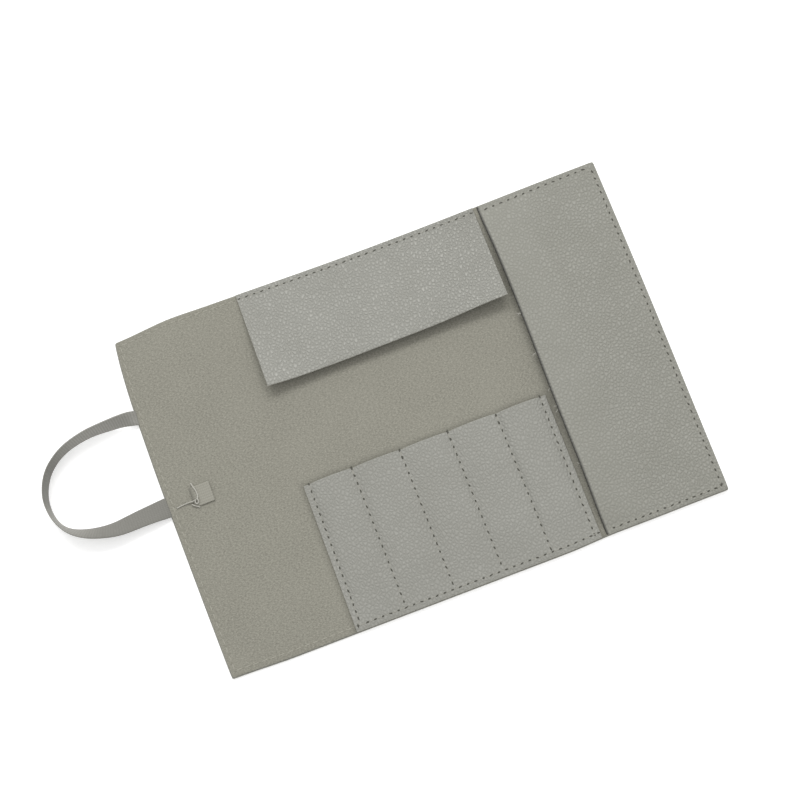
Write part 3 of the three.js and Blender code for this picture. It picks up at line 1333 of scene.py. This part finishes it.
@dataclass
class SidePocket:
    """The tall pocket at the end of the case, open towards the slots."""

    shop: Workshop
    base: float
    thick: float = 1.0
    mouth_x: float = 76.8
    x1: float = 149.4
    half_height: float = 103.4
    corner: float = 1.1
    y_step: float = 2.6
    # width of the painted shade along the raw mouth edge
    shaded_raw_band: float = 1.7
    top_inset: float = 3.6
    bottom_inset: float = 2.4
    side_inset: float = 2.75
    row_start: float = 4.4
    top_corner: tuple[Pair, Pair] = ((-4.3, 0.95), (0.3, -2.3))
    bottom_corner: tuple[Pair, Pair] = ((0.0, 0.9), (-3.7, 0.0))
    pitches: tuple[float, ...] = (4.7, ONE_STITCH, 4.5, ONE_STITCH, 4.45)
    gape: float = 5.0
    gape_power: float = 0.7
    gape_lead: float = 20.0
    margin: float = 1.2
    mouth_wave: float = 0.45
    wave_y: float = 5.0
    wave_half: float = 90.0
    wave_reach: float = 14.0
    low_turn: float = 1.1
    low_turn_y: Pair = (55.0, 100.0)
    top_turn: float = 0.4
    top_turn_y: Pair = (72.0, 96.0)

    @property
    def flat_y(self) -> float:
        """Where, either way along Y, the front starts to rise from its sewn margin."""
        return self.half_height - self.top_inset - self.margin

    def under(self, x: float, y: float) -> float:
        """Return the height of the panel's lower face."""
        across = max(0.0, 1.0 - (y / self.flat_y) ** 2) ** self.gape_power
        flat_x = self.x1 - self.side_inset - self.margin
        return self.base + self.gape * across * (1.0 - smooth(x, self.mouth_x - self.gape_lead, flat_x))

    def _mouth_shift(self, x: float, y: float) -> Pair:
        """Return how far, along X and Y, the mouth's edge waves and turns in at its ends."""
        wave = self.mouth_wave * math.sin(math.pi * (y - self.wave_y) / self.wave_half)
        turned = self.low_turn * smooth(-y, *self.low_turn_y) + self.top_turn * smooth(y, *self.top_turn_y)
        return (wave - turned) * (1.0 - smooth(x, self.mouth_x, self.mouth_x + self.wave_reach)), 0.0

    def build(self, lining: list[Piece]) -> list[Piece]:
        """Make the panel and its seams.

        Args:
            lining: The lining's pieces, which it lies on.

        Returns:
            The panel's pieces.
        """
        panel = SheetPanel(
            self.shop.lie, self.mouth_x, self.x1, -self.half_height, self.half_height, self.thick,
            self.under, self.shop.plan.cuts(), corner=self.corner, y_step=self.y_step,
            y_cuts=(-self.flat_y, self.flat_y), shaded_raw_mouth=True, edge_band=self.shaded_raw_band,
            nudge=self._mouth_shift,
        )
        spans = self.shop.plan.spans(self.mouth_x, self.x1)
        rows = bent_seam(self._seam_corners(), self.pitches, panel.top)
        self.shop.stitcher.sew("side_pocket_seam", rows, spans, Layer.LEATHER)
        leather = self.shop.finishes.side_leather
        return [
            self.shop.lay("side_pocket_front", panel, span, leather, ["side_pocket"], rests_on=lining)
            for span in spans
        ]

    def _seam_corners(self) -> list[Pair]:
        """Return the seam's corners, from the mouth along the top and round to the mouth again."""
        start_x = self.mouth_x + self.row_start
        end_x = self.x1 - self.side_inset
        top_y = self.half_height - self.top_inset
        bottom_y = self.bottom_inset - self.half_height
        corners = [(start_x, top_y)]
        corners += [(end_x + dx, top_y + dy) for dx, dy in self.top_corner]
        corners += [(end_x + dx, bottom_y + dy) for dx, dy in self.bottom_corner]
        return corners + [(start_x, bottom_y)]


@dataclass
class Flap:
    """The loose leaf over the pencils' points, sewn along the top edge only."""

    shop: Workshop
    lining_top: float
    clearance: float = 0.25
    thick: float = 1.0
    x0: float = -74.0
    x1: float = 74.5
    y0: float = 43.65
    y1: float = 103.5
    y_step: float = 3.0
    row_y: float = 100.5
    row_ends: tuple[float, ...] = (-72.6, 6.3, 11.4, 72.3)
    pitches: tuple[float, ...] = (4.64, ONE_STITCH, 4.68)
    lift: float = 4.7
    lift_power: float = 1.25
    skew: float = 0.2
    slope: float = 0.4
    drawn_up: float = 0.25
    drawn_in: float = 0.55
    drawn_from_x: float = 58.0
    curl: float = 0.8
    curl_x: Pair = (20.0, 62.0)
    curl_lift: float = 2.5
    curl_lift_x: Pair = (30.0, 72.0)
    left_curl: float = 0.5
    left_curl_x: Pair = (52.0, 76.0)
    left_lift: float = 2.0
    left_lift_x: Pair = (56.0, 78.0)
    sag: float = 0.9
    sag_x: float = -30.0
    sag_reach: float = 20.0
    kept_lift: float = 0.15

    @property
    def base(self) -> float:
        """Height of the leaf's lower face along its seam."""
        return self.lining_top + self.clearance

    def _tilt(self, x: float) -> float:
        """Return 1 at the leaf's left end, falling evenly to -1 at its right end."""
        return 1.0 - 2.0 * (x - self.x0) / (self.x1 - self.x0)

    def _edge_slope(self, x: float, y: float) -> Pair:
        """Shift the free edge: it slopes down at the strap's end and curls at both corners.

        Args:
            x: A point's place along X on the flat leaf.
            y: Its place along Y.

        Returns:
            The shift along X and along Y.
        """
        share = (self.y1 - y) / (self.y1 - self.y0)
        curled = self.curl * smooth(x, *self.curl_x) + self.left_curl * smooth(-x, *self.left_curl_x)
        up = curled + self.drawn_up - self.slope * self._tilt(x)
        return -self.drawn_in * smooth(x, self.drawn_from_x, self.x1), up * share

    def under(self, x: float, y: float) -> float:
        """Return the height of the leaf's lower face: flat at the seam, lifting to its free edge.

        Args:
            x: A point's place along X on the flat leaf.
            y: Its place along Y.

        Returns:
            The height.
        """
        share = max(0.0, (self.row_y - y) / (self.row_y - self.y0))
        right = self.curl_lift * smooth(x, *self.curl_lift_x)
        left = self.left_lift * smooth(-x, *self.left_lift_x)
        sagged = self.sag * math.exp(-(((x - self.sag_x) / self.sag_reach) ** 2))
        rise = self.lift + self.skew * self._tilt(x) + right + left - sagged
        return self.base + rise * share**self.lift_power

    def build(self, lining: list[Piece]) -> list[Piece]:
        """Make the leaf in strips that bend with the slots behind them.

        Args:
            lining: The lining's pieces, which it lies on.

        Returns:
            The leaf's pieces.
        """
        lines = self.shop.plan.bend_lines[1:-1]
        panel = SheetPanel(
            self.shop.lie, self.x0, self.x1, self.y0, self.y1, self.thick, self.under, list(lines),
            y_step=self.y_step, nudge=self._edge_slope,
        )
        limits = [self.x0, *lines, self.x1]
        spans = [
            Span(f"{number}", low, high, (f"flap_{number}_strip",))
            for number, (low, high) in enumerate(zip(limits, limits[1:]), 1)
        ]
        rows = bent_seam([(x, self.row_y) for x in self.row_ends], self.pitches, panel.top)
        self.shop.stitcher.sew("flap_seam", rows, spans, Layer.LEATHER)
        leather = self.shop.finishes.flap_leather
        pieces = []
        for span in spans:
            name = f"flap_leaf_{span.tag}"
            leaf = self.shop.lay(name, panel, span, leather, [f"flap_{span.tag}"], rests_on=lining)
            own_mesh(leaf)
            pieces.append(leaf)
        return pieces


@dataclass(frozen=True)
class Strand:
    """A length of thread: its radius, and its run as X, Y and height over the lining."""

    name: str
    radius: float
    run: tuple[tuple[float, float, float], ...]


TAB_STRANDS = (
    Strand("tab_stitch", 0.46, (
        (-132.9, 8.6, 0.2), (-132.6, 7.2, 1.1), (-132.3, 5.6, 1.0), (-131.7, 3.9, 1.2),
        (-131.5, 1.5, 0.9), (-131.6, -0.2, 1.1), (-132.6, -1.9, 1.4),
    )),
    Strand("tab_knot", 0.38, (
        (-132.6, -0.9, 1.3), (-132.1, -2.1, 1.6), (-132.2, -3.6, 1.5),
        (-133.6, -4.3, 1.6), (-134.2, -2.6, 1.7), (-133.3, -1.3, 1.8),
    )),
    Strand("tab_long_tail", 0.38, (
        (-133.1, -1.9, 1.5), (-135.3, -1.8, 1.2), (-137.4, -1.6, 0.7),
        (-139.5, -1.6, 0.5), (-142.1, -1.7, 0.4), (-145.0, -2.1, 0.4),
    )),
    Strand("tab_short_tail", 0.38, (
        (-136.4, -3.2, 0.6), (-135.3, -4.3, 0.9), (-134.0, -5.3, 0.7), (-132.4, -6.4, 0.5),
    )),
)


@dataclass
class Strap:
    """The woven tape: a loop from the tail edge and back, and its end sewn down on the lining.

    The lean is given as shares of the loop's length and degrees up from flat.
    """

    shop: Workshop
    lining_top: float
    width: float = 12.0
    thick: float = 1.0
    route: tuple[Pair, ...] = (
        (-151.6, 56.6), (-166, 57.4), (-183, 56.9), (-198.6, 52.5), (-210, 43.6), (-215.9, 30.9),
        (-215.6, 18), (-210.3, 8.3), (-200, 2), (-185, -1.2), (-168, -0.4), (-151.6, 0.2),
    )
    steps: int = 110
    route_steps: int = 24
    lean: tuple[Pair, ...] = (
        (0, 0), (0.03, 45), (0.08, 68), (0.13, 76), (0.18, 80), (0.33, 88), (0.55, 88),
        (0.6, 83), (0.64, 71), (0.68, 60), (0.78, 42), (0.83, 31), (0.94, 18), (1, 0),
    )
    lean_ease: float = 0.02
    selvedge: tuple[Pair, ...] = ((1.0, 0.35), (0.985, 0.8), (0.95, 1.0), (0.5, 1.0), (0.0, 1.0))
    floor_gap: float = 0.1
    end_share: float = 0.12
    end_lift: float = 1.1
    pinch: float = 0.28
    tab_centre: Pair = (-129.1, 0.4)
    tab_size: float = 12.0
    tab_turn: float = math.radians(0.5)
    tab_cells: int = 10
    tab_bevel: float = 0.25
    tab_row: float = -0.28
    tab_row_reach: float = 0.9
    tab_row_depth: float = 0.4

    def _lean(self, share: float) -> float:
        """Return how far the tape leans up from flat at a share of its length, in radians."""
        for (low, start), (high, end) in zip(self.lean, self.lean[1:]):
            if share <= high:
                return math.radians(start + (end - start) * (share - low) / (high - low))
        return 0.0

    def _eased_lean(self, share: float) -> float:
        """Return the lean averaged over a short stretch of tape, which eases its changes."""
        reach = min(self.lean_ease, share, 1.0 - share)
        shares = [share + reach * offset for offset in (-1.0, -0.5, 0.0, 0.5, 1.0)]
        return sum(self._lean(s) for s in shares) / len(shares)

    def _centreline(self) -> list[Vector]:
        """Return evenly spaced points, in millimetres, of a smooth line through the route."""
        knots = [Vector((x, y, 0.0)) for x, y in self.route]
        knots = [2 * knots[0] - knots[1], *knots, 2 * knots[-1] - knots[-2]]
        dense = []
        for a, b, c, d in zip(knots, knots[1:], knots[2:], knots[3:]):
            for i in range(self.route_steps):
                t = i / self.route_steps
                even = 2 * b + (c - a) * t
                bent = even + (2 * a - 5 * b + 4 * c - d) * t**2 + (3 * b - a - 3 * c + d) * t**3
                dense.append(0.5 * bent)
        dense.append(knots[-2])
        reach = [0.0]
        for a, b in zip(dense, dense[1:]):
            reach.append(reach[-1] + (b - a).length)
        points = []
        k = 0
        for step in range(self.steps + 1):
            wanted = reach[-1] * step / self.steps
            while k < len(dense) - 2 and reach[k + 1] < wanted:
                k += 1
            share = (wanted - reach[k]) / (reach[k + 1] - reach[k])
            points.append(dense[k].lerp(dense[k + 1], min(1.0, share)))
        return points

    def _section(self) -> list[Pair]:
        """Return the tape's cross-section, anticlockwise, with rounded selvedges."""
        upper = [(self.width / 2 * side, self.thick / 2 * height) for side, height in self.selvedge]
        row = upper + [(-x, z) for x, z in reversed(upper[:-1])]
        return row + [(x, -z) for x, z in reversed(row)]

    def _ring(self, centre: list[Vector], step: int) -> list[Vector]:
        """Set the cross-section up at one step along the tape.

        Args:
            centre: The tape's middle line.
            step: The step's number.

        Returns:
            The ring's points in metres.
        """
        share = step / self.steps
        along = (centre[min(step + 1, self.steps)] - centre[max(step - 1, 0)]).normalized()
        outward = Vector((along.y, -along.x, 0.0))
        lean = self._eased_lean(share)
        across = outward * math.cos(lean) + Vector((0, 0, math.sin(lean)))
        facing = outward * -math.sin(lean) + Vector((0, 0, math.cos(lean)))
        lifted = self.end_lift * (1.0 - smooth(min(share, 1.0 - share), 0.0, self.end_share))
        standing = self.width / 2 * math.sin(lean) + self.thick / 2 * math.cos(lean)
        middle = centre[step] + Vector((0, 0, self.floor_gap + standing + lifted))
        kept = 1.0 - self.pinch * (1.0 - smooth(share, 0.0, self.end_share))
        return [(middle + across * u * kept + facing * w) * MM for u, w in self._section()]

    def build_loop(self) -> Piece:
        """Sweep the tape along its twisted route and return it."""
        centre = self._centreline()
        length = sum((b - a).length for a, b in zip(centre, centre[1:]))
        section = self._section()
        count = len(section)
        bm = bmesh.new()
        flat_layer = bm.loops.layers.uv.new(FLAT_MAP)
        flat_place = {}
        rings = []
        for step in range(len(centre)):
            ring = [bm.verts.new(point) for point in self._ring(centre, step)]
            for vert, (u, _) in zip(ring, section):
                flat_place[vert] = (u / FLAT_UNIT, length * step / self.steps / FLAT_UNIT)
            rings.append(ring)
        for a, b in zip(rings, rings[1:]):
            for i in range(count):
                bm.faces.new((a[i], a[(i + 1) % count], b[(i + 1) % count], b[i])).smooth = True
        bm.faces.new(list(reversed(rings[0])))
        bm.faces.new(rings[-1])
        bmesh.ops.recalc_face_normals(bm, faces=bm.faces)
        lay_flat_map(bm, flat_layer, flat_place)
        tape = object_from(bm, "strap_tape", (self.shop.finishes.webbing,))
        self._declare(tape, "strap", "strap_loop")
        return tape

    def _declare(self, piece: Piece, body: str, node: str) -> None:
        """Let a stretch of tape ride on a body and hide the CAD node that it shows in place of.

        Args:
            piece: The stretch of tape.
            body: What it rides on.
            node: The CAD node that it shows in place of.
        """
        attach(piece, body)
        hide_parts(node)

    def build_tab(self) -> Piece:
        """Model the tape's sewn-down end and return it."""
        bpy.ops.object.select_all(action="DESELECT")
        cells = self.tab_cells
        bpy.ops.mesh.primitive_grid_add(x_subdivisions=cells, y_subdivisions=cells, size=self.tab_size * MM)
        tab = bpy.context.active_object
        tab.name = "strap_end_tab"
        bpy.ops.object.mode_set(mode="EDIT")
        bpy.ops.mesh.select_all(action="SELECT")
        bpy.ops.mesh.extrude_region_move(TRANSFORM_OT_translate={"value": (0, 0, self.thick * MM)})
        bpy.ops.mesh.select_all(action="SELECT")
        bpy.ops.mesh.normals_make_consistent(inside=False)
        bpy.ops.object.mode_set(mode="OBJECT")
        bevel = tab.modifiers.new("soft_edge", "BEVEL")
        bevel.width = self.tab_bevel * MM
        bevel.segments = 2
        bevel.angle_limit = math.radians(60)
        bpy.ops.object.modifier_apply(modifier=bevel.name)
        uv = tab.data.uv_layers.active or tab.data.uv_layers.new()
        uv.name = FLAT_MAP
        for loop in tab.data.loops:
            place = tab.data.vertices[loop.vertex_index].co / MM / FLAT_UNIT
            uv.data[loop.index].uv = (place.x, place.y)
        row_x = self.tab_row * self.tab_size
        for vert in tab.data.vertices:
            pulled = math.exp(-(((vert.co.x / MM - row_x) / self.tab_row_reach) ** 2))
            if vert.co.z > self.thick * MM / 2:
                vert.co.z -= self.tab_row_depth * pulled * MM
        turn = Matrix.Rotation(self.tab_turn, 4, "Z")
        place = self.shop.lie.place(*self.tab_centre, self.lining_top)
        tab.data.transform(Matrix.Translation(place) @ turn)
        tab.data.materials.append(self.shop.finishes.tab_tape)
        select_only(tab)
        bpy.ops.object.shade_smooth_by_angle(angle=math.radians(40))
        self._declare(tab, "tail_strip", "strap_tab")
        return tab

    def build_tab_thread(self) -> list[Piece]:
        """Lay the pale thread that sews the tab down, with its knot and loose tails, and return it."""
        made = []
        for strand in TAB_STRANDS:
            line = [self.shop.lie.place(x, y, self.lining_top + z) for x, y, z in strand.run]
            thread = thread_strand(strand.name, line, strand.radius, self.shop.finishes.pale_thread)
            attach(thread, "tail_strip")
            made.append(thread)
        return made


def thread_strand(name: str, points: list[Vector], radius: float, material: Material) -> Piece:
    """Lay a length of thread along points as a mesh tube.

    Args:
        name: The object's name.
        points: Where it runs, in metres.
        radius: Its radius in millimetres.
        material: Its finish.

    Returns:
        The new object.
    """
    curve = bpy.data.curves.new(name, "CURVE")
    curve.dimensions = "3D"
    curve.bevel_depth = radius * MM
    curve.bevel_resolution = 2
    curve.resolution_u = 6
    curve.use_fill_caps = True
    spline = curve.splines.new("NURBS")
    spline.points.add(len(points) - 1)
    for knot, point in zip(spline.points, points):
        knot.co = (*point, 1.0)
    spline.use_endpoint_u = True
    spline.order_u = 3
    strand = bpy.data.objects.new(name, curve)
    bpy.context.scene.collection.objects.link(strand)
    select_only(strand)
    bpy.ops.object.convert(target="MESH")
    strand = bpy.context.active_object
    strand.data.materials.clear()
    strand.data.materials.append(material)
    bpy.ops.object.shade_smooth()
    return strand


@dataclass
class MouthFibres:
    """Frayed fibres along the side pocket's raw mouth edge, swaying and reaching by turns."""

    shop: Workshop
    pocket: SidePocket
    places: tuple[float, ...] = (33.7, 32.4, 8.1, 6.6, -14.0, -25.7, -27.3, -61.0)
    length: float = 1.9
    length_shares: tuple[float, ...] = (0.7, 0.85, 1.0, 1.15)
    sways: tuple[float, ...] = (0.6, 0.8, 1.0)
    radius: float = 0.17
    root_depth: float = 0.8
    root_height: float = 0.3
    bend: tuple[float, float, float] = (0.4, 0.5, 0.4)
    tip: tuple[float, float, float] = (1.0, 1.6, 1.0)

    def build(self) -> list[Piece]:
        """Lay each fibre out of the mouth and return them."""
        x = self.pocket.mouth_x
        plan = self.shop.plan
        span = Span("fibre", x, x, ("slot_5_strip", "side_strip"), plan.bend_lines[-1], plan.slot_reach)
        made = []
        for number, y in enumerate(self.places, 1):
            z = self.pocket.under(x, y) + self.root_height
            sway = (-1) ** number * self.sways[number % len(self.sways)]
            reach = self.length * self.length_shares[number % len(self.length_shares)]
            points = [(x + self.root_depth, y, z)]
            for out, aside, fall in (self.bend, self.tip):
                points.append((x - out * reach, y + aside * sway, z - fall))
            line = [self.shop.lie.place(*point) for point in points]
            fibre = thread_strand(f"mouth_fibre_{number}", line, self.radius, self.shop.finishes.pale_thread)
            span.carry(fibre)
            made.append(fibre)
        return made


@dataclass
class Studio:
    """Floor, light and camera, sizes of the floor and the lamp in metres."""

    tilt: float = math.radians(12.9)
    azimuth: float = math.radians(-5.2)
    roll: float = math.radians(-21.0)
    distance: float = 1152.0
    lens: float = 90.0
    sensor: float = 36.0
    nearest: float = 0.01
    centre_pixel: Pair = (416.4, 414.9)
    frame_pixels: float = 800.0
    floor_size: float = 8.0
    floor_z: float = -0.0002
    floor_tone: float = 0.93
    floor_glow: float = 0.3
    sky_strength: float = 0.83
    lamp_place: tuple[float, float, float] = (0.25, 1.43, 1.7)
    lamp_size: Pair = (2.3, 0.8)
    lamp_watts: float = 33.0

    def build_floor(self) -> None:
        """Lay a plain pale floor under the case."""
        bpy.ops.object.select_all(action="DESELECT")
        bpy.ops.mesh.primitive_plane_add(size=self.floor_size, location=(0, 0, self.floor_z))
        floor = bpy.context.active_object
        floor.name = "studio_floor"
        paint = Paint("pale_floor", roughness=0.9, specular=0.1)
        paint.fix("Base Color", (self.floor_tone, self.floor_tone, self.floor_tone, 1.0))
        paint.fix("Emission Color", WHITE)
        paint.fix("Emission Strength", self.floor_glow)
        floor.data.materials.append(paint.material)

    def build_light(self) -> None:
        """Set an even sky and hang one soft lamp that faces the case."""
        world = bpy.data.worlds.new("studio_world")
        bpy.context.scene.world = world
        world.use_nodes = True
        background = world.node_tree.nodes["Background"]
        background.inputs["Color"].default_value = WHITE
        background.inputs["Strength"].default_value = self.sky_strength
        lamp = bpy.data.lights.new("window", "AREA")
        lamp.shape = "RECTANGLE"
        lamp.size, lamp.size_y = self.lamp_size
        lamp.energy = self.lamp_watts
        obj = bpy.data.objects.new("window", lamp)
        obj.location = self.lamp_place
        obj.rotation_euler = (-Vector(self.lamp_place)).to_track_quat("-Z", "Y").to_euler()
        bpy.context.scene.collection.objects.link(obj)
        bpy.context.scene.view_settings.view_transform = "Standard"

    def build_camera(self) -> None:
        """Set the camera where the photograph was taken."""
        toward = Vector((
            math.sin(self.tilt) * math.sin(self.azimuth),
            -math.sin(self.tilt) * math.cos(self.azimuth),
            math.cos(self.tilt),
        ))
        level = Vector((0, 1, 0)).cross(toward).normalized()
        upright = toward.cross(level)
        right = math.cos(self.roll) * level + math.sin(self.roll) * upright
        up = math.cos(self.roll) * upright - math.sin(self.roll) * level
        camera = bpy.data.cameras.new("photo_camera")
        camera.lens = self.lens
        camera.sensor_width = self.sensor
        camera.clip_start = self.nearest
        middle = self.frame_pixels / 2
        camera.shift_x = (middle - self.centre_pixel[0]) / self.frame_pixels
        camera.shift_y = (self.centre_pixel[1] - middle) / self.frame_pixels
        obj = bpy.data.objects.new("photo_camera", camera)
        turn = Matrix((right, up, toward)).transposed().to_4x4()
        obj.matrix_world = Matrix.Translation(metres(toward * self.distance)) @ turn
        bpy.context.scene.collection.objects.link(obj)
        bpy.context.scene.camera = obj


def main() -> None:
    """Build the studio and every piece of the case, in order."""
    logging.basicConfig(level=logging.INFO, format="%(name)s: %(message)s")
    studio = Studio()
    studio.build_camera()
    studio.build_light()
    studio.build_floor()
    lie = Lie()
    finishes = Finishes()
    shop = Workshop(RollPlan(), lie, finishes, Stitcher(lie, finishes))
    cover = OuterCover(shop).build()
    lining = Lining(shop)
    cloth = lining.build(cover)
    LOG.info("cover in %d pieces, lining in %d", len(cover), len(cloth))
    slots = PenPocket(shop, lining.top).build(cloth)
    pocket = SidePocket(shop, lining.top)
    fronts = pocket.build(cloth)
    LOG.info("slots in %d pieces, side pocket in %d", len(slots), len(fronts))
    leaves = Flap(shop, lining.top).build(cloth)
    fibres = MouthFibres(shop, pocket).build()
    LOG.info("flap in %d pieces, %d loose fibres", len(leaves), len(fibres))
    strap = Strap(shop, lining.top)
    strap.build_loop()
    strap.build_tab()
    strands = strap.build_tab_thread()
    LOG.info("strap, tab and %d strands", len(strands))


if __name__ == "__main__":
    main()
